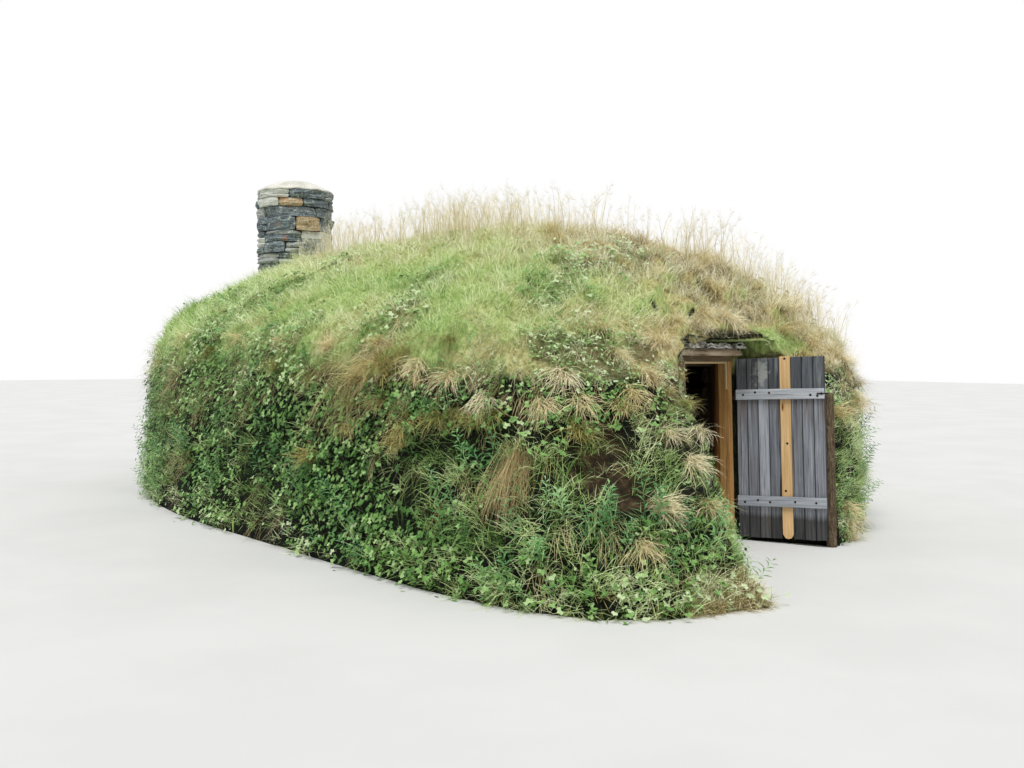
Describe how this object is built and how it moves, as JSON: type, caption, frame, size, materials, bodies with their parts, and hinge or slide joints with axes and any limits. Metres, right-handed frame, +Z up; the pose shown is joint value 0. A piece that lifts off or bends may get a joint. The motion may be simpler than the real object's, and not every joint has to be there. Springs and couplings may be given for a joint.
{
  "type": "turf house",
  "caption": "Long turf covered hut with a log lined room, a low plank door that stands open and a round stone chimney.",
  "frame": {"origin": "middle of the turf's outline on the ground", "axes": "+Z up, +Y from the door towards the chimney, +X to the right as one faces the door"},
  "size_m": [6.2, 10.691, 4.08],
  "materials": {
    "turf": "matte",
    "log_wood": "matte",
    "birch_bark": "matte",
    "weathered_planks": "matte",
    "new_pine": "matte",
    "frame_wood": "matte",
    "iron": "matte",
    "slate": "matte",
    "mortar": "matte"
  },
  "bodies": {
    "house": {"left_wall_turf": "turf", "right_wall_turf": "turf", "back_wall_turf_left": "turf", "back_wall_turf_right": "turf", "front_bank_left": "turf", "front_bank_right": "turf", "front_roof_turf": "turf", "roof_turf_left": "turf", "roof_turf_right": "turf", "back_roof_turf_left": "turf", "back_roof_turf_right": "turf", "left_wall_logs": "log_wood", "right_wall_logs": "log_wood", "back_wall_logs_left": "log_wood", "back_wall_logs_right": "log_wood", "front_wall_logs_left": "log_wood", "front_wall_logs_right": "log_wood", "front_plate": "log_wood", "back_gable_logs": "log_wood", "ridge_log": "log_wood", "ridge_posts": "log_wood", "hip_rafters": "log_wood", "purlins": "log_wood", "roof_poles_left": "log_wood", "roof_poles_right": "log_wood", "roof_poles_front": "log_wood", "roof_bark_left": "birch_bark", "roof_bark_right": "birch_bark", "roof_bark_front": "birch_bark", "lintel_logs": "log_wood", "door_bark": "birch_bark", "door_sill": "frame_wood", "door_post_left": "frame_wood", "door_post_right": "frame_wood", "door_head": "frame_wood", "stop_battens": "new_pine", "reveal_board_left": "frame_wood", "reveal_board_right": "frame_wood", "hinge_pintles": "iron", "stay_post": "log_wood", "hearth": "slate", "chimney_shaft": "slate", "chimney_stack": "slate", "chimney_cap": "mortar"},
    "leaf": {"door_planks": "weathered_planks", "new_plank": "new_pine", "upper_ledge": "weathered_planks", "lower_ledge": "weathered_planks", "strap_hinges": "iron", "door_hook": "iron"}
  },
  "joints": [
    {"name": "door_swing", "type": "hinge", "parent": "house", "child": "leaf", "pos_m": [0.286, -3.51998, 0.0008], "axis": [0, 0.0401, 0.9992], "range_deg": [-109.5, 0]}
  ]
}
